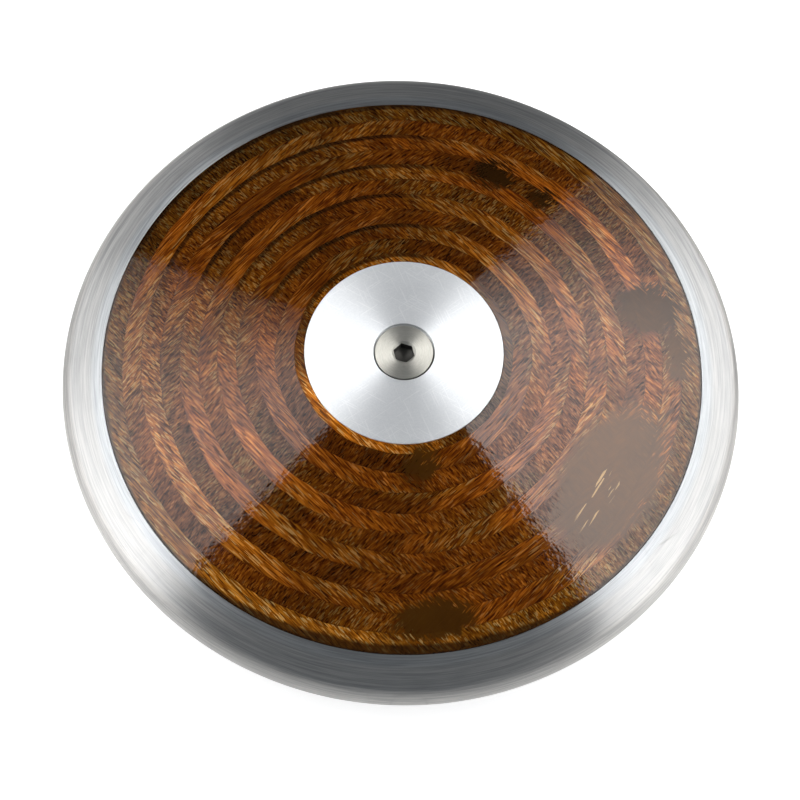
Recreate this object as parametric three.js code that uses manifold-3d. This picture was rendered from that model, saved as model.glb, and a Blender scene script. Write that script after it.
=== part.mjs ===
// A 1 kg throwing discus with turned wooden sides in a steel rim. Two laminated sides clamp the
// rim's inward web, held by dowels. A hub plate sits flush in each side. A countersunk screw enters
// the top plate and a sleeve nut the bottom one, and steel weights ride on the sleeve between them.
// Millimetres, +Z is the spin axis, and the origin is the middle of the discus.

import * as THREE from 'three';
import { mergeVertices } from 'three/addons/utils/BufferGeometryUtils.js';
import Module from 'manifold-3d';

// Outer shape
const rimRadius = 90.5;
const edgeRadius = 6; // of the rounded nose
const creaseInset = 2.1; // from the rim's outermost edge in to where the nose begins
const bandWidth = 8.9; // from the rim's outermost edge in to its narrow inner lip
const lipWidth = 1.9;
const lipHalf = 7.2; // half of the thickness at the lip's outer edge
const centreHalf = 19;

// Web of the rim, and the dowels through it
const webHalf = 1;
const webWidth = 9.7;
const dowelCount = 8;
const dowelRadius = 2.5;
const dowelHalf = 5.2;
const dowelChamfer = 0.5;

// Hub plates and the core between them
const plateRadius = 26.15;
const plateThickness = 5;
const coreRadius = 12.8;

// Centre screw, M8 with a countersunk head
const screwHeadRadius = 7.65;
const screwShankRadius = 3.85;
const screwLength = 20;
const screwTipChamfer = 0.8;

// Sleeve nut
const nutHeadRadius = 9;
const sleeveRadius = 6.2;
const sleeveTopGap = 1; // from the sleeve's top to the upper hub plate
const nutBoreDepth = 16;
const nutDrillTip = 1.8;
const nutMouthChamfer = 0.6;

// Both heads
const headSink = 0.25; // below the face of the hub plate
const headLand = 0.4; // straight edge above the countersink's cone
const headMouthGap = 0.47; // round each head, in the face of its plate
const socketAcrossFlats = 5;
const socketDepth = 3;
const socketMouthRadius = 3.15;
const socketTurn = - 12.5; // degrees, of the screw's socket about its axis

// Core contents
const weightCount = 4;
const packingThickness = 3;

// Clearances
const fit = 0.3; // beside every piece that sits in another
const overrun = 1; // of a cutter past the face that it cuts

// Facets
const largeFacets = 72;
const hubFacets = 48;
const screwFacets = 36;
const dowelFacets = 12;
const noseSteps = 4;

// Radii that follow from the rim inwards: the lip's outer edge, the wood's edge, the web, the dowels
const lipRadius = rimRadius - bandWidth;
const sideRadius = lipRadius - lipWidth;
const webInnerRadius = sideRadius - webWidth;
const dowelCircleRadius = webInnerRadius + webWidth / 2;

const wasm = await Module();
wasm.setup();

// Outlines are lists of radius and height, anticlockwise, with the spin axis at radius 0.
const at = ( radius, height ) => new THREE.Vector2( radius, height );

// Welds a geometry's shared corners and drops the empty triangles at its poles.
function welded( geometry ) {

	geometry.deleteAttribute( 'normal' );
	geometry.deleteAttribute( 'uv' );
	const merged = mergeVertices( geometry );
	const corners = merged.index.array;
	const kept = [];
	for ( let i = 0; i < corners.length; i += 3 ) {

		const [ a, b, c ] = corners.slice( i, i + 3 );
		if ( a !== b && b !== c && c !== a ) kept.push( a, b, c );

	}

	merged.setIndex( kept );
	return merged;

}

// Turns an outline about Z. A ring's outline is closed on itself, a solid one ends on the axis.
function turned( outline, facets ) {

	const solid = outline[ 0 ].x === 0;
	const profile = solid ? outline : [ ...outline, outline[ 0 ] ];
	return welded( new THREE.LatheGeometry( profile, facets ).rotateX( Math.PI / 2 ) );

}

function toManifold( geometry ) {

	const vertProperties = new Float32Array( geometry.attributes.position.array );
	const triVerts = new Uint32Array( geometry.index.array );
	return new wasm.Manifold( new wasm.Mesh( { numProp: 3, vertProperties, triVerts } ) );

}

function cut( geometry, cutters ) {

	let body = toManifold( geometry );
	for ( const cutter of cutters ) body = body.subtract( toManifold( cutter ) );
	const mesh = body.getMesh();
	const result = new THREE.BufferGeometry();
	result.setAttribute( 'position', new THREE.BufferAttribute( mesh.vertProperties, 3 ) );
	result.setIndex( new THREE.BufferAttribute( mesh.triVerts, 1 ) );
	return result;

}

function part( name, geometry, material ) {

	const flat = geometry.toNonIndexed();
	flat.computeVertexNormals();
	const mesh = new THREE.Mesh( flat, material );
	mesh.name = name;
	return mesh;

}

// Materials
const steel = new THREE.MeshStandardMaterial( { color: 0xc3c5c8, roughness: 0.32, metalness: 1 } );
const stainless = new THREE.MeshStandardMaterial( { color: 0xcfccc2, roughness: 0.25, metalness: 1 } );
const aluminium = new THREE.MeshStandardMaterial( { color: 0xcdd3da, roughness: 0.35, metalness: 1 } );
const laminate = new THREE.MeshStandardMaterial( { color: 0x4a1c0c, roughness: 0.22, metalness: 0 } );
const beech = new THREE.MeshStandardMaterial( { color: 0xb98a58, roughness: 0.7, metalness: 0 } );
const rubber = new THREE.MeshStandardMaterial( { color: 0x26241f, roughness: 0.85, metalness: 0 } );

// Half of the thickness of the tapered side, and of the rim's lip, which runs on in line with it.
function taperHalf( radius ) {

	const run = ( radius - plateRadius ) / ( lipRadius - plateRadius );
	return THREE.MathUtils.lerp( centreHalf, lipHalf, run );

}

function dowelHoles( half ) {

	const holes = [];
	for ( let i = 0; i < dowelCount; i ++ ) {

		const hole = new THREE.CylinderGeometry( dowelRadius + fit, dowelRadius + fit, 2 * half, dowelFacets );
		hole.rotateX( Math.PI / 2 ).translate( dowelCircleRadius, 0, 0 );
		hole.rotateZ( dowelAngle( i ) );
		holes.push( welded( hole ) );

	}

	return holes;

}

function dowelAngle( index ) {

	return ( index + 0.5 ) / dowelCount * 2 * Math.PI;

}

// Steel ring: a web that reaches in between the sides, a lip, a straight band and a round nose.
function rim() {

	const noseCentre = rimRadius - edgeRadius;
	const creaseAngle = Math.acos( ( edgeRadius - creaseInset ) / edgeRadius );
	const upper = [ at( rimRadius, 0 ) ];
	for ( let i = 1; i <= noseSteps; i ++ ) {

		const angle = creaseAngle * i / noseSteps;
		upper.push( at( noseCentre + edgeRadius * Math.cos( angle ), edgeRadius * Math.sin( angle ) ) );

	}

	upper.push( at( lipRadius, lipHalf ), at( sideRadius, taperHalf( sideRadius ) ) );
	upper.push( at( sideRadius, webHalf ), at( webInnerRadius, webHalf ) );
	const lower = upper.slice( 1 ).reverse().map( ( p ) => at( p.x, - p.y ) );
	return cut( turned( [ ...upper, ...lower ], largeFacets ), dowelHoles( webHalf + overrun ) );

}

// Upper wooden side: flat underneath with a step for the web, tapered on top, bored for the core
// and recessed for the hub plate. The lower side is the same piece turned over.
function side() {

	const recessRadius = plateRadius + fit;
	const recessFloor = centreHalf - plateThickness;
	const outerRadius = sideRadius - fit;
	const outline = [
		at( coreRadius, 0 ),
		at( webInnerRadius - fit, 0 ),
		at( webInnerRadius - fit, webHalf ),
		at( outerRadius, webHalf ),
		at( outerRadius, taperHalf( outerRadius ) ),
		at( recessRadius, taperHalf( recessRadius ) ),
		at( recessRadius, recessFloor ),
		at( coreRadius, recessFloor ),
	];
	return cut( turned( outline, largeFacets ), dowelHoles( dowelHalf + fit ) );

}

// Upper hub plate, countersunk for a head of the given radius on a shank of the given radius.
// The cone runs parallel to the head's own cone, the fit away from it.
function hubPlate( headRadius, shankRadius ) {

	const floor = centreHalf - plateThickness;
	const mouthRadius = headRadius + headMouthGap;
	const boreRadius = shankRadius + fit;
	const coneTop = centreHalf - headSink - headLand - headRadius - fit * Math.SQRT2;
	const outline = [
		at( boreRadius, floor ),
		at( plateRadius, floor ),
		at( plateRadius, centreHalf ),
		at( mouthRadius, centreHalf ),
		at( mouthRadius, coneTop + mouthRadius ),
		at( boreRadius, coneTop + boreRadius ),
	];
	return turned( outline, hubFacets );

}

// Hexagon socket with a conical mouth, cut down from the face of a head at the given height.
function hexSocket( faceHeight ) {

	const cornerRadius = socketAcrossFlats / Math.sqrt( 3 );
	const hexagon = new THREE.CylinderGeometry( cornerRadius, cornerRadius, socketDepth + overrun, 6 );
	hexagon.rotateX( Math.PI / 2 ).rotateZ( THREE.MathUtils.degToRad( socketTurn ) - Math.PI / 2 );
	hexagon.translate( 0, 0, faceHeight + ( overrun - socketDepth ) / 2 );
	const mouthDepth = socketMouthRadius - socketAcrossFlats / 2;
	const mouth = turned( [
		at( 0, faceHeight - mouthDepth ),
		at( socketAcrossFlats / 2, faceHeight - mouthDepth ),
		at( socketMouthRadius + overrun, faceHeight + overrun ),
		at( 0, faceHeight + overrun ),
	], screwFacets );
	return [ welded( hexagon ), mouth ];

}

function centreScrew() {

	const face = centreHalf - headSink;
	const tip = face - screwLength;
	const landBottom = face - headLand;
	const outline = [
		at( 0, tip ),
		at( screwShankRadius - screwTipChamfer, tip ),
		at( screwShankRadius, tip + screwTipChamfer ),
		at( screwShankRadius, landBottom - ( screwHeadRadius - screwShankRadius ) ),
		at( screwHeadRadius, landBottom ),
		at( screwHeadRadius, face ),
		at( 0, face ),
	];
	return cut( turned( outline, screwFacets ), hexSocket( face ) );

}

// Built head up, like the screw, and turned over into the lower plate. The bore is open at the
// sleeve's end, which is the low end here.
function sleeveNut() {

	const face = centreHalf - headSink;
	const landBottom = face - headLand;
	const end = plateThickness + sleeveTopGap - centreHalf;
	const boreRadius = screwShankRadius + fit;
	const outline = [
		at( 0, end + nutBoreDepth + nutDrillTip ),
		at( boreRadius, end + nutBoreDepth ),
		at( boreRadius, end + nutMouthChamfer ),
		at( boreRadius + nutMouthChamfer, end ),
		at( sleeveRadius, end ),
		at( sleeveRadius, landBottom - ( nutHeadRadius - sleeveRadius ) ),
		at( nutHeadRadius, landBottom ),
		at( nutHeadRadius, face ),
		at( 0, face ),
	];
	return cut( turned( outline, screwFacets ), hexSocket( face ) );

}

// Washer round the sleeve, standing on height 0.
function coreRing( thickness ) {

	const inner = sleeveRadius + fit;
	const outer = coreRadius - fit;
	return turned( [
		at( inner, 0 ),
		at( outer, 0 ),
		at( outer, thickness ),
		at( inner, thickness ),
	], hubFacets );

}

function dowel() {

	return turned( [
		at( 0, - dowelHalf ),
		at( dowelRadius - dowelChamfer, - dowelHalf ),
		at( dowelRadius, dowelChamfer - dowelHalf ),
		at( dowelRadius, dowelHalf - dowelChamfer ),
		at( dowelRadius - dowelChamfer, dowelHalf ),
		at( 0, dowelHalf ),
	], dowelFacets );

}

// Rim and sides
const discus = new THREE.Group();
discus.add( part( 'rim', rim(), steel ) );
discus.add( part( 'upper_side', side(), laminate ) );
for ( let i = 0; i < dowelCount; i ++ ) {

	const pin = part( `locking_dowel_${ i + 1 }`, dowel(), beech );
	pin.position.set( dowelCircleRadius, 0, 0 ).applyAxisAngle( new THREE.Vector3( 0, 0, 1 ), dowelAngle( i ) );
	pin.rotation.z = dowelAngle( i );
	discus.add( pin );

}

// Hub, top side
discus.add( part( 'upper_hub_plate', hubPlate( screwHeadRadius, screwShankRadius ), aluminium ) );
discus.add( part( 'centre_screw', centreScrew(), stainless ) );

// Weights between two packing rings, stacked up from the lower plate
const coreHeight = 2 * ( centreHalf - plateThickness );
const weightThickness = ( coreHeight - 2 * packingThickness ) / weightCount;
const lowerPacking = part( 'lower_packing_ring', coreRing( packingThickness ), rubber );
lowerPacking.position.z = - coreHeight / 2;
const upperPacking = part( 'upper_packing_ring', coreRing( packingThickness ), rubber );
upperPacking.position.z = coreHeight / 2 - packingThickness;
discus.add( lowerPacking, upperPacking );
for ( let i = 0; i < weightCount; i ++ ) {

	const weight = part( `balance_weight_${ i + 1 }`, coreRing( weightThickness ), steel );
	weight.position.z = packingThickness - coreHeight / 2 + i * weightThickness;
	discus.add( weight );

}

// Pieces turned over on the underside
const underside = new THREE.Group();
underside.rotation.x = Math.PI;
underside.add( part( 'lower_side', side(), laminate ) );
underside.add( part( 'lower_hub_plate', hubPlate( nutHeadRadius, sleeveRadius ), aluminium ) );
underside.add( part( 'sleeve_nut', sleeveNut(), stainless ) );
discus.add( underside );

export default discus;
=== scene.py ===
from functools import partial
from math import acos, ceil, cos, pi, radians, sin, sqrt, tan
import bmesh
import bpy
from mathutils import Matrix, Vector


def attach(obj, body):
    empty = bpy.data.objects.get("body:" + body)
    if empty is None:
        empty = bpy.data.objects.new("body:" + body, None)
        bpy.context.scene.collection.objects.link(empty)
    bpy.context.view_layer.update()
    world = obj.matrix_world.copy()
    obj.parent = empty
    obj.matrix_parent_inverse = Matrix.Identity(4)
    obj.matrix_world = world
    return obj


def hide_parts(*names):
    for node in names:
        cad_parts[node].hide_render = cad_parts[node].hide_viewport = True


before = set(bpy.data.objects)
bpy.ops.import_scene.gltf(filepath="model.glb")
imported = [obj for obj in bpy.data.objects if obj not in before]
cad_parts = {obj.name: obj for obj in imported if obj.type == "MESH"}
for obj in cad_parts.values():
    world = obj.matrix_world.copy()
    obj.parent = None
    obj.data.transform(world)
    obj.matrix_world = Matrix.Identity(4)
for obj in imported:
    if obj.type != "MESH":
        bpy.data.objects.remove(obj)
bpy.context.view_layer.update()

# Camera
# A long lens, 0.83 m from the discus and 66 degrees above the table, turned a little about its own axis.
# Lengths are written in millimetres all through this script, and MM turns them into Blender's metres.
MM = 0.001
elevation, roll = radians(66.45), radians(4.63)
distance = 831
picture_width = 800
pixels_right, pixels_up = -1.7, -19.5

back = Vector((0, -cos(elevation), sin(elevation)))
level = Vector((1, 0, 0))
upward = back.cross(level)
turned_level = cos(roll) * level + sin(roll) * upward
turned_upward = cos(roll) * upward - sin(roll) * level
camera_data = bpy.data.cameras.new("long_lens")
camera_data.lens = 139.6
camera_data.sensor_width = 36
camera_data.shift_x = pixels_right / picture_width
camera_data.shift_y = pixels_up / picture_width
camera_data.clip_start = 50 * MM
camera_data.clip_end = 20000 * MM
camera = bpy.data.objects.new("long_lens", camera_data)
facing = Matrix((turned_level, turned_upward, back)).transposed().to_4x4()
camera.matrix_world = Matrix.Translation(back * distance * MM) @ facing
bpy.context.scene.collection.objects.link(camera)
bpy.context.scene.camera = camera
bpy.context.scene.view_settings.view_transform = "Standard"


# Studio
# A white table with a low curved rise all round, and two large soft lights that lie overhead, one on each
# side of the discus. Their near edges run out at a slant, which leaves the dark wedge in front.
def feed(socket, value):
    """Links a socket to another one, or sets any other value on it."""
    if isinstance(value, bpy.types.NodeSocket):
        socket.id_data.links.new(value, socket)
    else:
        socket.default_value = value


def node(tree, kind, inputs=None, **settings):
    """A new node with its settings, whose inputs are fed with sockets or values."""
    made = tree.nodes.new(kind)
    for name, value in settings.items():
        setattr(made, name, value)
    for key, value in (inputs or {}).items():
        feed(made.inputs[key], value)
    return made


def fed(kind, inputs, **settings):
    """A new node in the tree of the first socket among its inputs."""
    sources = [value for value in inputs.values() if isinstance(value, bpy.types.NodeSocket)]
    return node(sources[0].id_data, kind, inputs, **settings)


def number(operation, first, *others):
    """A number made from one other, or from several that are taken in turn."""
    if not others:
        return fed("ShaderNodeMath", {0: first}, operation=operation).outputs[0]
    for other in others:
        first = fed("ShaderNodeMath", {0: first, 1: other}, operation=operation).outputs[0]
    return first


plus = partial(number, "ADD")
minus = partial(number, "SUBTRACT")
times = partial(number, "MULTIPLY")
most = partial(number, "MAXIMUM")


def between(value, start, end, low=0.0, high=1.0):
    """The value carried smoothly from start..end to low..high, and held past both ends."""
    inputs = {"Value": value, "From Min": start, "From Max": end, "To Min": low, "To Max": high}
    return fed("ShaderNodeMapRange", inputs, interpolation_type="SMOOTHSTEP").outputs["Result"]


def scaled(place, factor):
    return fed("ShaderNodeVectorMath", {0: place, "Scale": factor}, operation="SCALE").outputs["Vector"]


def parts(place):
    return fed("ShaderNodeSeparateXYZ", {0: place}).outputs


def length(place):
    return fed("ShaderNodeVectorMath", {0: place}, operation="LENGTH").outputs["Value"]


def place_on(tree):
    """The place on the object, in millimetres."""
    return scaled(node(tree, "ShaderNodeTexCoord").outputs["Object"], 1 / MM)


def mixed(factor, first, second):
    """A colour from the first to the second."""
    made = fed("ShaderNodeMix", {"Factor": factor}, data_type="RGBA")
    for key, colour in (("A", first), ("B", second)):
        feed(made.inputs[key], (*colour, 1) if isinstance(colour, tuple) else colour)
    return made.outputs["Result"]


def surface(material, **sockets):
    """Feeds a material's shader. An underscore stands for a space in the name of its socket."""
    shader = material.node_tree.nodes["Principled BSDF"]
    for name, value in sockets.items():
        feed(shader.inputs[name.replace("_", " ")], value)


def new_material(name, **sockets):
    made = bpy.data.materials.new(name)
    made.use_nodes = True
    surface(made, **sockets)
    return made


sharp_angle = radians(30)


def add(name, vertices, faces, material):
    """A new object with smooth shading, which breaks at every edge that is sharper than the sharp angle."""
    mesh = bpy.data.meshes.new(name)
    mesh.from_pydata([[part * MM for part in vertex] for vertex in vertices], [], faces)
    welded = bmesh.new()
    welded.from_mesh(mesh)
    bmesh.ops.remove_doubles(welded, verts=welded.verts, dist=1e-7)
    bmesh.ops.dissolve_degenerate(welded, edges=welded.edges, dist=1e-7)
    welded.to_mesh(mesh)
    welded.free()
    mesh.materials.append(material)
    mesh.shade_smooth()
    mesh.set_sharp_from_angle(angle=sharp_angle)
    made = bpy.data.objects.new(name, mesh)
    bpy.context.scene.collection.objects.link(made)
    return made


def turned(name, rows, columns, material):
    """Turns rows of (radius, height) about the Z axis. A row on the axis is one point, and rows that don't
    start on the axis close on themselves. A row may also be a function of the angle."""
    vertices, rings = [], []
    angles = [2 * pi * i / columns for i in range(columns)]
    for row in rows:
        if not callable(row) and row[0] == 0:
            rings.append([len(vertices)] * columns)
            vertices.append((0, 0, row[1]))
            continue
        rings.append(range(len(vertices), len(vertices) + columns))
        for angle in angles:
            radius, height = row(angle) if callable(row) else row
            vertices.append((radius * cos(angle), radius * sin(angle), height))
    if callable(rows[0]) or rows[0][0] > 0:
        rings.append(rings[0])
    faces = []
    for low, high in zip(rings, rings[1:]):
        for i in range(columns):
            j = (i + 1) % columns
            faces.append(list(dict.fromkeys([low[i], low[j], high[j], high[i]])))
    return add(name, vertices, [face for face in faces if len(face) > 2], material)


table_height, table_radius, rise_radius = -19, 2200, 380
table_columns = 96
table_rows = [(0, table_height), (table_radius, table_height)]
for angle in range(6, 91, 6):
    out = rise_radius * sin(radians(angle))
    up = rise_radius * (1 - cos(radians(angle)))
    table_rows.append((table_radius + out, table_height + up))

# What mirrors the table sees it darker than the camera does, and glowing: a painted reflection. It is darkest
# close to the discus, a painted shadow of it, and behind it on the right, lighter in front, and bright in one
# spot behind it on the left, a painted highlight. For what mirrors it, the table's colour is painted darker
# too.
table_white = new_material("table_white", Roughness=0.8, Specular_IOR_Level=0.1, Emission_Color=(1, 1, 1, 1))
rays = node(table_white.node_tree, "ShaderNodeLightPath").outputs
mirrored_rays = most(rays["Is Glossy Ray"], rays["Is Transmission Ray"])
table_place = place_on(table_white.node_tree)
table_x, table_y = parts(table_place)[:2]
table_reach = length(table_place)
in_front = between(table_y, 20, -80, 0.44, 0.85)
left_behind = between(table_x, -15, -50, 0.0, between(table_y, 25, 70, 0.0, 2.6))
left_behind = times(left_behind, between(table_reach, 150, 110))
right_behind = between(table_x, 20, 60, 0.0, between(table_y, 5, 50, 0.0, 0.38))
table_painted_reflection = minus(plus(in_front, left_behind), right_behind)
table_painted_reflection = times(table_painted_reflection, between(table_reach, 55, 95, 0.12, 1.0))
surface(
    table_white,
    Base_Color=minus(0.42, times(mirrored_rays, 0.3)),
    Emission_Strength=most(times(rays["Is Camera Ray"], 0.82), times(mirrored_rays, table_painted_reflection)))
table = turned("table", table_rows, table_columns, table_white)
table.data.flip_normals()


def left_strength(x, y):
    """The left light's strength, which grows to the front and to the left."""
    at_the_back = between(x, -650, -950, 0.4, 3.0)
    at_the_front = between(x, -650, -950, 4.2, 5.6)
    return times(between(y, 950, 150, at_the_back, at_the_front), between(x, -400, -850, 0.85, 1.3))


def right_strength(x, y):
    """The right light's strength, which grows to the front and to the right."""
    at_the_back = between(x, 650, 950, 0.9, 3.1)
    return times(between(y, 1450, 750, at_the_back, 5.1), between(x, 400, 800, 1.04, 1.08))


light_height = 1200


def overhead_light(name, corners, strength):
    """A flat shape that glows, as strongly as a function of X and Y says."""
    white = new_material(name)
    white.node_tree.nodes.clear()
    x, y = parts(place_on(white.node_tree))[:2]
    glow = node(white.node_tree, "ShaderNodeEmission", {"Strength": strength(x, y)})
    node(white.node_tree, "ShaderNodeOutputMaterial", {"Surface": glow.outputs[0]})
    vertices = [(*corner, light_height) for corner in corners]
    add(name, vertices, [list(range(len(corners)))], white)


left_corners = [(-310, 110), (-520, 800), (-750, 920), (-1450, 1250), (-1450, -620), (-970, -560)]
right_corners = [(340, 120), (1040, -550), (1600, -600), (1600, 1530), (620, 1530), (360, 1150)]
overhead_light("left_light", left_corners, left_strength)
overhead_light("right_light", right_corners, right_strength)

fill_data = bpy.data.lights.new("fill_light", "AREA")
fill_data.size = 1600 * MM
fill_data.energy = 9
fill = bpy.data.objects.new("fill_light", fill_data)
fill.location = (0, 100 * MM, 1500 * MM)
fill.visible_glossy = False
bpy.context.scene.collection.objects.link(fill)

# The sky is white to the camera, and a dim grey to what mirrors it, less dim low down and in front.
world = bpy.data.worlds.new("studio")
world.use_nodes = True
bpy.context.scene.world = world
sky = world.node_tree
sky_way = parts(node(sky, "ShaderNodeTexCoord").outputs["Generated"])
low_or_in_front = most(between(sky_way["Z"], 0.5, 0.3), between(sky_way["Y"], -0.15, -0.35))
sky_grey = scaled((0.048, 0.057, 0.066), plus(0.35, times(low_or_in_front, 2.0)))
sky_seen = node(sky, "ShaderNodeLightPath").outputs["Is Camera Ray"]
feed(sky.nodes["Background"].inputs["Color"], mixed(sky_seen, sky_grey, (1, 1, 1)))


# Rim
# One steel ring, turned and polished: a web that reaches in between the wooden sides, a narrow lip in line
# with the wood, a straight band and a round nose. The polishing leaves fine marks all the way round.
def rounded(corners):
    """An outline whose corners, given as (radius, height, fillet), are rounded off where they have a fillet.
    Each fillet gets a short straight margin on both sides, which keeps the shading of the flats even."""
    arc_step, widest_margin = radians(15), 0.1
    points = []
    for i, (radius, height, fillet) in enumerate(corners):
        here = Vector((radius, height))
        if not fillet:
            points.append(tuple(here))
            continue
        to_before = (Vector(corners[i - 1][:2]) - here).normalized()
        to_after = (Vector(corners[(i + 1) % len(corners)][:2]) - here).normalized()
        half = to_before.angle(to_after) / 2
        reach = fillet / tan(half)
        centre = here + (to_before + to_after).normalized() * (fillet / sin(half))
        start = here + to_before * reach - centre
        end = here + to_after * reach - centre
        steps = max(2, ceil((pi - 2 * half) / arc_step), ceil(fillet))
        margin = min(widest_margin, 0.5 * fillet)
        points.append(tuple(here + to_before * (reach + margin)))
        for step in range(steps + 1):
            points.append(tuple(centre + start.slerp(end, step / steps).normalized() * fillet))
        points.append(tuple(here + to_after * (reach + margin)))
    return points


def mirrored(upper):
    """A whole outline from its upper half, which starts and ends clear of height 0."""
    return upper + [(radius, -height, *rest) for radius, height, *rest in reversed(upper)]


def effect(name, inputs, outputs):
    """A shader node group with these inputs, given with their values, and these outputs, which are numbers.
    Returns the group, what it is given and what it gives."""
    group = bpy.data.node_groups.new(name, "ShaderNodeTree")
    for socket, value in inputs.items():
        kind = "NodeSocketVector" if isinstance(value, tuple) else "NodeSocketFloat"
        made = group.interface.new_socket(name=socket, in_out="INPUT", socket_type=kind)
        made.default_value = value
    for socket in outputs:
        group.interface.new_socket(name=socket, in_out="OUTPUT", socket_type="NodeSocketFloat")
    return group, node(group, "NodeGroupInput").outputs, node(group, "NodeGroupOutput").inputs


def grouped(tree, group, **inputs):
    return node(tree, "ShaderNodeGroup", inputs, node_tree=group).outputs


over = partial(number, "DIVIDE")


def mean(first, second):
    return times(plus(first, second), 0.5)


def vector(operation, *vectors):
    return fed("ShaderNodeVectorMath", dict(enumerate(vectors)), operation=operation).outputs["Vector"]


def joined(*numbers):
    return fed("ShaderNodeCombineXYZ", dict(enumerate(numbers))).outputs[0]


def off_axis(place):
    """The distance from the Z axis."""
    return length(vector("MULTIPLY", place, (1, 1, 0)))


def bumped(height, distance, strength=1.0):
    inputs = {"Height": height, "Distance": distance * MM, "Strength": strength}
    return fed("ShaderNodeBump", inputs).outputs[0]


def turning_marks():
    """Rings that follow the tool round the axis, broken into long arcs."""
    group, given, result = effect("turning_marks", {"Pitch": 0.5, "Arcs": 2.0}, ["Rings", "Fine"])
    x, y, z = parts(place_on(group))
    reach = length(joined(x, y))
    easting = times(over(x, reach), given["Arcs"])
    northing = times(over(y, reach), given["Arcs"])
    place = joined(over(reach, given["Pitch"]), over(z, given["Pitch"]), easting)
    for output, scale, detail in (("Rings", 1.0, 2.0), ("Fine", 3.1, 3.0)):
        inputs = {"Vector": place, "W": northing, "Scale": scale, "Detail": detail, "Roughness": 0.65}
        feed(result[output], fed("ShaderNodeTexNoise", inputs, noise_dimensions="4D").outputs[0])
    return group


def straight_scratches():
    """A small share of the long cells of a stretched pattern, laid in three directions."""
    inputs = {"Length": 6.0, "Width": 0.15, "Share": 0.02}
    group, given, result = effect("scratches", inputs, ["Mask"])
    place = place_on(group)
    size = joined(over(1.0, given["Length"]), over(1.0, given["Width"]))
    masks = []
    for turn in (25, 62, 140):
        laid = fed("ShaderNodeMapping", {"Vector": place, "Rotation": (0, 0, radians(turn))}).outputs[0]
        pattern = {"Vector": vector("MULTIPLY", laid, size), "Scale": 1.0}
        cells = fed("ShaderNodeTexVoronoi", pattern, voronoi_dimensions="2D").outputs["Color"]
        chance = fed("ShaderNodeSeparateColor", {0: cells}).outputs["Red"]
        masks.append(number("LESS_THAN", chance, given["Share"]))
    feed(result["Mask"], most(*masks))
    return group


marks = turning_marks()
scratches = straight_scratches()
rim_steel = new_material(
    "rim_steel", Metallic=0.94, Anisotropic=1, Anisotropic_Rotation=0.25, Coat_Weight=0.7, Coat_Roughness=0.6)
rim_marks = grouped(rim_steel.node_tree, marks, Pitch=0.5, Arcs=3.0)
rim_scratches = grouped(rim_steel.node_tree, scratches, Length=6.0, Width=0.2, Share=0.006)["Mask"]
rim_fine = mean(rim_marks["Rings"], rim_marks["Fine"])
rim_reach = off_axis(place_on(rim_steel.node_tree))
rim_tone = mixed(between(rim_fine, 0.38, 0.62), (0.31, 0.31, 0.312), (0.50, 0.495, 0.485))
# The lip's colour is painted a little bluish and the nose's a third lighter: both are painted reflection.
lip_painted_reflection = mixed(between(rim_reach, 83.5, 81.5), (1, 1, 1), (0.97, 1.01, 1.05))
nose_painted_reflection = mixed(between(rim_reach, 87.4, 89.2), (1, 1, 1), (1.35, 1.33, 1.3))
rim_roughness = between(rim_marks["Rings"], 0.3, 0.7, 0.34, 0.42)
surface(
    rim_steel,
    Base_Color=vector("MULTIPLY", vector("MULTIPLY", rim_tone, lip_painted_reflection), nose_painted_reflection),
    Roughness=plus(rim_roughness, times(rim_scratches, 0.08)),
    Normal=bumped(rim_fine, 0.02, 0.25))

rim_radius, nose_radius, crease_radius = 90.5, 6, 88.4
lip_radius, lip_half = 81.6, 7.2
plate_radius, centre_half = 26.15, 19
wood_radius, web_radius, web_half = 79.7, 70, 1
wide_columns = 360


def taper(radius):
    """Half of the thickness of the wooden side, and of the rim's lip in line with it, at a radius."""
    share = (radius - plate_radius) / (lip_radius - plate_radius)
    return centre_half + (lip_half - centre_half) * share


# The nose's arc stops a few steps short of the crease, where the fillet of the crease takes over.
nose_centre = rim_radius - nose_radius
crease_angle = acos((crease_radius - nose_centre) / nose_radius)
nose_steps, steps_short = 24, 4
rim_half = []
for step in range(1, nose_steps - steps_short + 1):
    angle = crease_angle * step / nose_steps
    rim_half.append((nose_centre + nose_radius * cos(angle), nose_radius * sin(angle), 0))
rim_half += [
    (crease_radius, nose_radius * sin(crease_angle), 4),
    (lip_radius, lip_half, 8),
    (wood_radius, taper(wood_radius), 0.12),
    (wood_radius, web_half, 0.2),
    (web_radius, web_half, 0.2),
]
rim_outline = [(rim_radius, 0, 0)] + mirrored(rim_half)
rim = turned("rim_ring", rounded(rim_outline), wide_columns, rim_steel)
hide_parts("rim")
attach(rim, "discus")


# Wooden sides
# Two discs of dark, resin-soaked laminate, turned to a shallow cone that cuts slantwise across the layers, so
# each one shows as a ring. The grain of every second layer runs crosswise. The face is lacquered to a gloss.
def noise(place, scale, detail=2.0, roughness=0.5):
    """A cloudy number round 0.5, and a colour of three such numbers."""
    inputs = {"Vector": place, "Scale": scale, "Detail": detail, "Roughness": roughness}
    return fed("ShaderNodeTexNoise", inputs).outputs


def spun(place, angle):
    """The place turned about the Z axis."""
    inputs = {"Vector": place, "Angle": angle}
    return fed("ShaderNodeVectorRotate", inputs, rotation_type="Z_AXIS").outputs[0]


def dot(first, second):
    return fed("ShaderNodeVectorMath", {0: first, 1: second}, operation="DOT_PRODUCT").outputs["Value"]


def toward(way, degrees):
    """1 where a level direction points to this angle round the axis, down to -1 opposite."""
    return dot(way, (cos(radians(degrees)), sin(radians(degrees)), 0))


def at(radius, degrees):
    """A point in the middle plane, by its distance from the axis and its angle round it."""
    return radius * cos(radians(degrees)), radius * sin(radians(degrees)), 0


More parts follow.
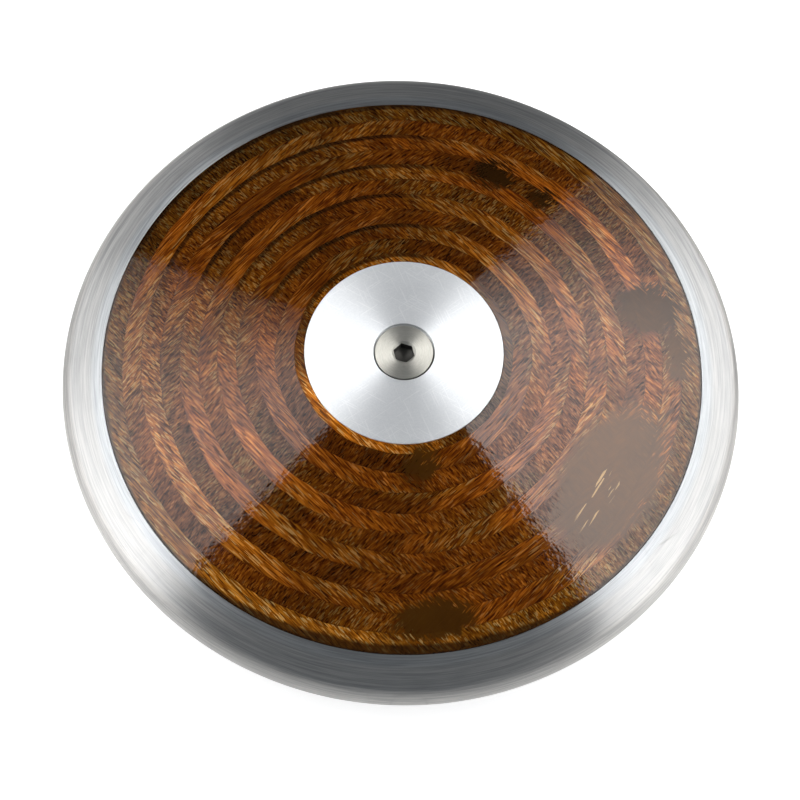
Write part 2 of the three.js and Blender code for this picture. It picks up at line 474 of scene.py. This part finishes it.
def wood_fibres():
    """Long threads side by side along the X of the vector that is fed in."""
    inputs = {"Vector": (0, 0, 0), "Width": 0.3, "Depth": 0.17, "Length": 9.0}
    group, given, result = effect("wood_fibres", inputs, ["Tone", "Pores", "Flecks"])
    wave = vector("SUBTRACT", noise(given["Vector"], 0.06)["Color"], (0.5, 0.5, 0.5))
    waved = vector("ADD", given["Vector"], vector("MULTIPLY", wave, (0, 0.9, 0.3)))
    cells = []
    for share in (1.0, 0.45):
        along = over(1.0 / share, given["Length"])
        size = joined(along, over(1.0, given["Width"]), over(1.0, given["Depth"]))
        stretched = vector("MULTIPLY_ADD", waved, size, (31.7 * share, 5.3, 17.9))
        colours = fed("ShaderNodeTexVoronoi", {"Vector": stretched, "Scale": 1.0}).outputs["Color"]
        cells.append(fed("ShaderNodeSeparateColor", {0: colours}).outputs)
    long_cells, short_cells = cells
    cloud = between(noise(stretched, 0.5, 1.5)[0], 0.35, 0.65, 0.0, 0.42)
    feed(result["Tone"], plus(times(long_cells["Red"], 0.58), cloud))
    feed(result["Pores"], between(short_cells["Green"], 0.82, 0.90))
    feed(result["Flecks"], short_cells["Blue"])
    return group


def resin_pool():
    """A smooth spot, by its centre, its turn, its half widths and the vectors that make its edge ragged."""
    inputs = {"Centre": (0, 0, 0), "Turn": 0.0, "Half": (5, 5, 1), "Place": (0, 0, 0), "Ragging": (0, 0, 0)}
    group, given, result = effect("resin_pool", inputs, ["Mask"])
    off_centre = vector("ADD", vector("SUBTRACT", given["Place"], given["Centre"]), given["Ragging"])
    share = vector("DIVIDE", spun(off_centre, times(given["Turn"], -1)), given["Half"])
    feed(result["Mask"], between(off_axis(share), 1.2, 0.85))
    return group


fibres = wood_fibres()
pools = resin_pool()
laminate = new_material("lacquered_laminate", Specular_IOR_Level=0.0, Coat_Roughness=0.06, Coat_IOR=1.43)
wood = laminate.node_tree
place = place_on(wood)
x, y, z = parts(place)
face = number("SIGN", z)
height = number("ABSOLUTE", z)
east = times(x, face)
flat_place = joined(east, y, height)
outward = vector("NORMALIZE", joined(east, y))
rightward = toward(outward, 0)
backward = toward(outward, 90)

# The glue lines wander a little. Layer 0 is the first whole one beside the hub plate. The plate cuts through
# the one before it, and the rim through those from 9 on.
ply, first_glue, glue_wander = 1.077, 18.457, 0.34
warp = noise(place, 0.055, 3.0, 0.55)[0]
wandered = plus(height, times(minus(warp, 0.5), glue_wander))
layers = over(minus(first_glue, wandered), ply)
layer = number("FLOOR", layers)
within = minus(layers, layer)
inner_layer = between(layer, -0.4, -0.6)
outer_layer = between(layer, 8.4, 8.6)
crosswise = number("FLOORED_MODULO", layer, 2.0)

# Every layer gets its own grain angle, near one of two that lie crosswise, and its own place in the log.
grain_turn, cross_turn, grain_spread = radians(50), radians(90), radians(12)
layer_seed = plus(layer, times(face, 50.0))
chance = node(wood, "ShaderNodeTexWhiteNoise", {"W": layer_seed}, noise_dimensions="1D").outputs
grain_angle = plus(times(crosswise, cross_turn), grain_turn)
grain_angle = plus(grain_angle, times(minus(chance["Value"], 0.5), grain_spread))
log_place = vector("MULTIPLY_ADD", chance["Color"], (90, 70, 50), spun(flat_place, times(grain_angle, -1)))
threads = grouped(wood, fibres, Vector=log_place, Width=0.25, Depth=0.25, Length=7.0)

# Where the cone cuts the fibres nearly end on, the surface is dark and speckled. Where it runs along them, it
# is brighter and streaked. The inner and outer layers change their tone round the disc more than the others.
end_on = number("POWER", number("ABSOLUTE", dot(spun((1, 0, 0), grain_angle), outward)), 2.0)
grain_tone = minus(1.0, times(end_on, 0.48))
streaks = noise(vector("MULTIPLY", log_place, (0.02, 0.16, 0.16)), 1.0, 3.0)[0]
streak_tone = plus(0.75, times(between(streaks, 0.35, 0.65), 0.5))
layer_tone = plus(0.80, times(crosswise, 0.27), times(chance["Value"], 0.2))
inner_tone = times(between(rightward, 0.8, 0.1, 0.3, 1.8), between(rightward, -0.85, -0.98, 1.0, 0.35))
outer_tone = between(toward(outward, 275), 0.55, 0.95, 0.68, 1.5)
ring_tone = between(layer, 0.4, 0.6, 0.72, between(outer_layer, 0, 1, 1.0, outer_tone))
ring_tone = between(inner_layer, 0, 1, ring_tone, inner_tone)
tone = times(layer_tone, ring_tone, grain_tone, streak_tone)

# The fibres are red brown, with dark pores and straw flecks. In some places they are more golden.
pore_colour, straw_colour = (0.016, 0.004, 0.0008), (0.32, 0.18, 0.055)
fibre_colours = {
    0.0: (0.036, 0.0070, 0.0003),
    0.3: (0.078, 0.0175, 0.0008),
    0.6: (0.135, 0.035, 0.0018),
    0.85: (0.20, 0.060, 0.0045),
    1.0: (0.29, 0.10, 0.013),
}
ramp = node(wood, "ShaderNodeValToRGB", {"Fac": threads["Tone"]})
stops = ramp.color_ramp.elements
stops.remove(stops[1])
for share, colour in fibre_colours.items():
    stop = stops.new(share) if share else stops[0]
    stop.color = (*colour, 1)
golden_patches = noise(vector("MULTIPLY", log_place, (0.03, 0.03, 0.3)), 1.0, 1.0)[0]
golden = most(inner_layer, outer_layer, between(golden_patches, 0.45, 0.6))
fleck_start = between(golden, 0, 1, 0.93, 0.80)
fleck_end = between(golden, 0, 1, 0.97, 0.90)
straw = times(between(threads["Flecks"], fleck_start, fleck_end), between(golden, 0, 1, 0.25, 0.45))
colour = mixed(times(threads["Pores"], 0.78), ramp.outputs["Color"], pore_colour)
colour = scaled(mixed(straw, colour, straw_colour), tone)
colour = vector("MULTIPLY", colour, mixed(outer_layer, (1, 1, 1), (0.98, 1.11, 1.2)))
colour = vector("MULTIPLY", colour, mixed(golden, (1.0, 0.97, 1.1), (0.97, 1.08, 1.2)))

# Glue lines are thin between all layers, and wide and dark under every second one, mostly on one side of the
# disc. The wood's edge is dark where it meets the rim.
glue_colour, edge_colour = (0.010, 0.004, 0.001), (0.012, 0.005, 0.0015)
glue = most(between(within, 0.92, 0.99), between(within, 0.04, 0.0))
dark_side = between(plus(toward(outward, 122), times(warp, 0.6)), 0.9, 1.25)
dark_glue = times(between(within, 0.68, 0.82), crosswise, dark_side)
colour = mixed(most(times(glue, 0.3), times(dark_glue, 0.8)), colour, glue_colour)
edge_reach = plus(off_axis(place), times(warp, 2.0), between(backward, -0.75, -1.0, 0.0, 1.8))
colour = mixed(between(edge_reach, 79.4, 80.6, 0.0, 0.85), colour, edge_colour)

# Pools of resin have filled the grain, each given as (angle, radius, half width outwards, half width round).
# Their edges follow the fibres.
pool_places = [
    (19, 68, 8.5, 7.5),
    (8, 73.5, 3.5, 8),
    (57, 62, 3.2, 3.2),
    (71, 62, 4.5, 5.5),
    (281, 71, 5.0, 10),
    (282, 32, 4.2, 4.2),
    (334, 63, 12, 22),
    (228, 61, 0.8, 1.0),
]
ragging = scaled(vector("SUBTRACT", noise(flat_place, 0.35, 4.0, 0.65)["Color"], (0.5, 0.5, 0.5)), 7.0)
fibre_edge = times(minus(threads["Tone"], 0.5), 5.0)
ragging = vector("ADD", ragging, joined(fibre_edge, fibre_edge))
pool_masks = []
for angle, radius, half_out, half_round in pool_places:
    pool = grouped(
        wood, pools, Centre=at(radius, angle), Turn=radians(angle), Half=(half_out, half_round, 1),
        Place=flat_place, Ragging=ragging)
    pool_masks.append(pool["Mask"])
pooled = most(*pool_masks)
pool_colour = mixed(warp, (0.022, 0.0080, 0.0009), (0.058, 0.022, 0.0025))
colour = mixed(times(pooled, 0.96), colour, scaled(pool_colour, between(y, -10, 45, 1.0, 0.42)))

# A few straw-coloured strokes of bare fibre lie close together in the largest pool.
stroke_turn, stroke_centre, stroke_colour = radians(62), at(63, 329), (0.30, 0.19, 0.08)
stroke_place = spun(flat_place, -stroke_turn)
strokes = grouped(wood, fibres, Vector=stroke_place, Width=0.4, Depth=4.0, Length=11.0)["Flecks"]
bare_patch = grouped(
    wood, pools, Centre=stroke_centre, Turn=stroke_turn, Half=(11, 3, 1), Place=flat_place)["Mask"]
bare_straw = times(bare_patch, between(strokes, 0.90, 0.93))
colour = mixed(times(bare_straw, 0.6), colour, stroke_colour)

# The lacquer waves a little over the fibres. It is thin over open ends and pores, on the left of the inner
# layer, and where it has sunk into the pools at the back.
lacquer_height = plus(times(noise(place, 0.25)[0], 0.028), times(noise(log_place, 0.9, 1.0)[0], 0.016))
lacquer_height = minus(lacquer_height, times(glue, 0.004))
thin_over_ends = times(end_on, minus(1.0, threads["Tone"]), minus(0.48, times(pooled, 0.48)))
thin_over_pores = times(threads["Pores"], minus(0.35, times(pooled, 0.35)))
thin_at_left = times(inner_layer, 0.88, between(rightward, -0.3, -0.65))
sunk_in_pools = times(pooled, between(y, -5, 15, 0.0, 0.2))
surface(
    laminate,
    Base_Color=colour,
    Metallic=between(pooled, 0.0, 1.0, 0.42, 0.65),
    Coat_Weight=minus(1.0, most(thin_over_ends, thin_over_pores, thin_at_left, sunk_in_pools)),
    Roughness=between(threads["Tone"], 0.0, 1.0, 0.42, 0.32),
    Normal=bumped(threads["Tone"], 0.012),
    Coat_Normal=bumped(lacquer_height, 1.0))

core_radius, plate_thickness = 12.8, 5
plate_floor = centre_half - plate_thickness
gap, half_glue = 0.06, 0.02
side_profile = [
    (core_radius, half_glue, 0.3),
    (web_radius - gap, half_glue, 0),
    (web_radius - gap, web_half + gap, 0),
    (wood_radius - gap, web_half + gap, 0.2),
    (wood_radius - gap, taper(wood_radius - gap), 0.15),
    (plate_radius + gap, taper(plate_radius + gap), 0.12),
    (plate_radius + gap, plate_floor, 0),
    (core_radius, plate_floor, 0.3),
]
for name, flip in (("upper_side", 1), ("lower_side", -1)):
    side_rows = [(radius, height * flip) for radius, height in rounded(side_profile)][::flip]
    side = turned("lacquered_" + name, side_rows, wide_columns, laminate)
    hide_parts(name)
    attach(side, "discus")

# Hub plates
# Two flat aluminium discs, faced off on the lathe and let in flush with the wood, each with a countersink for
# its screw head. The facing tool leaves fine rings, which throw the light out as a bright wedge on each side.
plate_metal = new_material("turned_aluminium", Anisotropic=0.78, Anisotropic_Rotation=0.25)
plate_marks = grouped(plate_metal.node_tree, marks, Pitch=0.35, Arcs=1.2)
plate_scratches = grouped(plate_metal.node_tree, scratches, Length=5.0, Width=0.2, Share=0.035)["Mask"]
plate_fine = mean(plate_marks["Rings"], plate_marks["Fine"])
plate_place = place_on(plate_metal.node_tree)
plate_mottle = mean(plate_fine, noise(plate_place, 2.2)[0])
plate_tone = mixed(between(plate_mottle, 0.38, 0.62), (0.705, 0.723, 0.745), (0.75, 0.765, 0.782))
plate_tone = mixed(times(plate_scratches, 0.3), plate_tone, (0.93, 0.935, 0.94))

# The countersink round the head is painted darker below the plate's face, most of it in front: painted shade
# in the gap.
countersink_shade_colour = (0.10, 0.095, 0.075)
plate_depth = minus(centre_half, number("ABSOLUTE", parts(plate_place)["Z"]))
plate_outward = vector("NORMALIZE", vector("MULTIPLY", plate_place, (1, 1, 0)))
countersink_painted_shade = times(
    between(plate_depth, 0.3, 0.8, 0.0, 0.8),
    between(off_axis(plate_place), 15, 12),
    between(toward(plate_outward, 285), -0.3, 0.5, 0.3, 1.15))
plate_roughness = between(plate_marks["Rings"], 0.3, 0.7, 0.41, 0.46)
surface(
    plate_metal,
    Base_Color=mixed(countersink_painted_shade, plate_tone, countersink_shade_colour),
    Metallic=between(plate_scratches, 0.0, 1.0, 0.73, 0.68),
    Roughness=plus(plate_roughness, times(plate_scratches, 0.04)),
    Normal=bumped(plate_fine, 0.02, 0.12))

screw_head_radius, screw_bore_radius = 7.65, 4.15
nut_head_radius, sleeve_radius = 9, 6.2
head_gap, head_sink, head_land, plate_play = 0.47, 0.25, 0.4, 0.3


def hub_plate(name, head_radius, bore_radius, body, flip):
    mouth = head_radius + head_gap
    cone_top = centre_half - head_sink - head_land - head_radius - plate_play * sqrt(2)
    outline = [
        (bore_radius, plate_floor, 0.15),
        (plate_radius, plate_floor, 0.3),
        (plate_radius, centre_half, 0.12),
        (mouth, centre_half, 0.12),
        (mouth, cone_top + mouth, 0.1),
        (bore_radius, cone_top + bore_radius, 0.1),
    ]
    rows = [(radius, height * flip) for radius, height in rounded(outline)][::flip]
    made = turned("turned_" + name, rows, wide_columns, plate_metal)
    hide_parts(name)
    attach(made, body)


hub_plate("upper_hub_plate", screw_head_radius, screw_bore_radius, "hub_cover", 1)
hub_plate("lower_hub_plate", nut_head_radius, sleeve_radius + plate_play, "discus", -1)

# Centre screw
# A stainless M8 countersunk screw with a hexagon socket. It draws the two hub plates together through the
# sleeve nut. The head was faced on the lathe, the socket was formed by punching and the thread was rolled.
screw_length, thread_pitch, thread_crest, thread_root = 20, 1.25, 3.95, 3.25
socket_flats, socket_depth, socket_mouth, socket_turn = 5, 3, 3.15, -12.5
screw_face = centre_half - head_sink
land = screw_face - head_land
screw_columns = 96

screw_metal = new_material(
    "screw_steel", Metallic=0.97, Anisotropic=0.78, Anisotropic_Rotation=0.25, Coat_Weight=0.3,
    Coat_Roughness=0.6)
screw_marks = grouped(screw_metal.node_tree, marks, Pitch=0.3, Arcs=1.5)
screw_place = place_on(screw_metal.node_tree)
depth = minus(screw_face, number("ABSOLUTE", parts(screw_place)["Z"]))
# Inside each socket, below its mouth, the colour is painted near black and the surface rough: painted shade
# in the hollow.
socket_painted_shade = times(between(depth, 0.6, 0.75), between(off_axis(screw_place), 3.1, 2.95))
screw_tone = mixed(between(screw_marks["Fine"], 0.3, 0.7), (0.43, 0.42, 0.375), (0.545, 0.532, 0.487))
screw_roughness = between(screw_marks["Rings"], 0.3, 0.7, 0.42, 0.49)
surface(
    screw_metal,
    Base_Color=mixed(socket_painted_shade, screw_tone, (0.05, 0.048, 0.043)),
    Roughness=most(screw_roughness, times(socket_painted_shade, 0.6)),
    Normal=bumped(screw_marks["Fine"], 0.01, 0.2))


def socket_cutter(flip):
    """A hexagon with a conical mouth, to be cut into the face of a head."""
    corner = socket_flats / sqrt(3)
    above = screw_face + 1
    mouth_floor = screw_face - (socket_mouth - socket_flats / 2)
    tip = screw_face - socket_depth
    hexagon_rows = [(0, tip - 0.9), (corner - 0.25, tip - 0.12), (corner, tip), (corner, above), (0, above)]
    hexagon = turned("hexagon", hexagon_rows, 6, screw_metal)
    hexagon.data.transform(Matrix.Rotation(radians(socket_turn), 4, "Z"))
    mouth_rows = [(0, mouth_floor), (socket_flats / 2, mouth_floor), (socket_mouth + 1, above), (0, above)]
    mouth = turned("mouth", mouth_rows, screw_columns, screw_metal)
    if flip < 0:
        for cutter in (hexagon, mouth):
            cutter.data.transform(Matrix.Rotation(pi, 4, "X"))
    return hexagon, mouth


def cut(piece, *cutters):
    """Cuts pieces away for good, and drops them."""
    for cutter in cutters:
        taken = piece.modifiers.new("cut", "BOOLEAN")
        taken.object = cutter
        taken.solver = "EXACT"
    shaped = bpy.data.meshes.new_from_object(piece.evaluated_get(bpy.context.evaluated_depsgraph_get()))
    piece.modifiers.clear()
    piece.data = shaped
    shaped.set_sharp_from_angle(angle=sharp_angle)
    for cutter in cutters:
        bpy.data.objects.remove(cutter)


def thread(start, end):
    """Rows of a right-hand thread that runs from one height down to another. It rises out of its root and
    sinks back into it at its ends."""
    run_in, run_out = 1.5, 0.9
    profile = [
        (0, thread_root),
        (0.13, thread_root),
        (0.46, thread_crest),
        (0.6, thread_crest),
        (0.93, thread_root),
    ]
    rows = []
    for turn in range(ceil((start - end) / thread_pitch) + 2):
        for share, radius in profile:
            def row(angle, turn=turn, share=share, radius=radius):
                height = start + thread_pitch * (angle / (2 * pi) + 1 - turn - share)
                lean = min(1, max(0, start - height) / run_in, max(0, height - end) / run_out)
                return thread_root + (radius - thread_root) * lean, min(start, max(end, height))
            rows.append(row)
    return rows


neck_radius = thread_root + 0.2
thread_start = land - (screw_head_radius - thread_crest) - 1.2
screw_tip = screw_face - screw_length
thread_end = screw_tip + 0.5
screw_rows = rounded([
    (0, screw_face, 0),
    (screw_head_radius, screw_face, 0.15),
    (screw_head_radius, land, 0.12),
    (neck_radius, land - (screw_head_radius - neck_radius), 0.3),
    (thread_root, thread_start, 0),
])
screw_rows += thread(thread_start, thread_end)
screw_rows += [(thread_root, thread_end), (thread_root - 0.5, screw_tip), (0, screw_tip)]
screw = turned("countersunk_screw", screw_rows[::-1], screw_columns, screw_metal)
cut(screw, *socket_cutter(1))
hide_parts("centre_screw")
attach(screw, "screw")

# Sleeve nut
# The long nut that the screw runs into, turned from the same stainless bar. Its countersunk head sits in the
# lower hub plate and has a socket of its own, and its sleeve carries the balance weights.
nut_end = plate_thickness + 1 - centre_half
nut_bore, nut_bore_depth, drill_tip, nut_mouth = screw_bore_radius, 16, 1.8, 0.6
nut_rows = rounded([
    (0, nut_end + nut_bore_depth + drill_tip, 0),
    (nut_bore, nut_end + nut_bore_depth, 0),
    (nut_bore, nut_end + nut_mouth, 0),
    (nut_bore + nut_mouth, nut_end, 0.1),
    (sleeve_radius, nut_end, 0.3),
    (sleeve_radius, land - (nut_head_radius - sleeve_radius), 0.3),
    (nut_head_radius, land, 0.12),
    (nut_head_radius, screw_face, 0.15),
    (0, screw_face, 0),
])
nut_rows = [(radius, -height) for radius, height in nut_rows][::-1]
nut = turned("sleeve_nut_turned", nut_rows, screw_columns, screw_metal)
cut(nut, *socket_cutter(-1))
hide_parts("sleeve_nut")
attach(nut, "discus")


# Balance weights and packing rings
# Steel washers on the sleeve bring the discus to its exact mass. They are stamped, deburred and zinc plated.
# A rubber ring at each end keeps the stack from rattling.
def dressed(name_part, material):
    """Gives a material to the CAD nodes whose names hold this part."""
    for name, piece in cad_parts.items():
        if name_part in name:
            piece.data.materials.clear()
            piece.data.materials.append(material)


zinc_plated = new_material("zinc_plated_steel", Metallic=1)
zinc_marks = grouped(zinc_plated.node_tree, marks, Pitch=0.6, Arcs=2.0)
zinc_cloud = noise(place_on(zinc_plated.node_tree), 0.26, 4.0)[0]
surface(
    zinc_plated,
    Base_Color=mixed(zinc_cloud, (0.36, 0.37, 0.36), (0.55, 0.55, 0.52)),
    Roughness=between(zinc_cloud, 0.3, 0.7, 0.35, 0.6),
    Normal=bumped(zinc_marks["Fine"], 0.03, 0.3))
dressed("balance_weight", zinc_plated)

packing_rubber = new_material("packing_rubber", Specular_IOR_Level=0.4)
rubber_grain = noise(place_on(packing_rubber.node_tree), 0.9, 4.0)[0]
surface(
    packing_rubber,
    Base_Color=mixed(rubber_grain, (0.018, 0.017, 0.016), (0.045, 0.042, 0.038)),
    Roughness=between(rubber_grain, 0.3, 0.7, 0.7, 0.9),
    Normal=bumped(rubber_grain, 0.05, 0.4))
dressed("packing_ring", packing_rubber)

# Locking dowels
# Beech pins, glued through the holes of the rim's web into both wooden sides, so that the rim can't turn on
# the wood. Their grain runs along the pin.
dowel_wood = new_material("dowel_beech", Roughness=0.6)
along_pin = {"Vector": place_on(dowel_wood.node_tree), "Rotation": (0, radians(90), 0)}
dowel_place = fed("ShaderNodeMapping", along_pin).outputs[0]
dowel_fibres = grouped(dowel_wood.node_tree, fibres, Vector=dowel_place, Width=0.25, Depth=0.25, Length=4.0)
surface(
    dowel_wood,
    Base_Color=mixed(dowel_fibres["Tone"], (0.36, 0.21, 0.10), (0.56, 0.38, 0.22)),
    Normal=bumped(dowel_fibres["Tone"], 0.05, 0.4))
dressed("locking_dowel", dowel_wood)
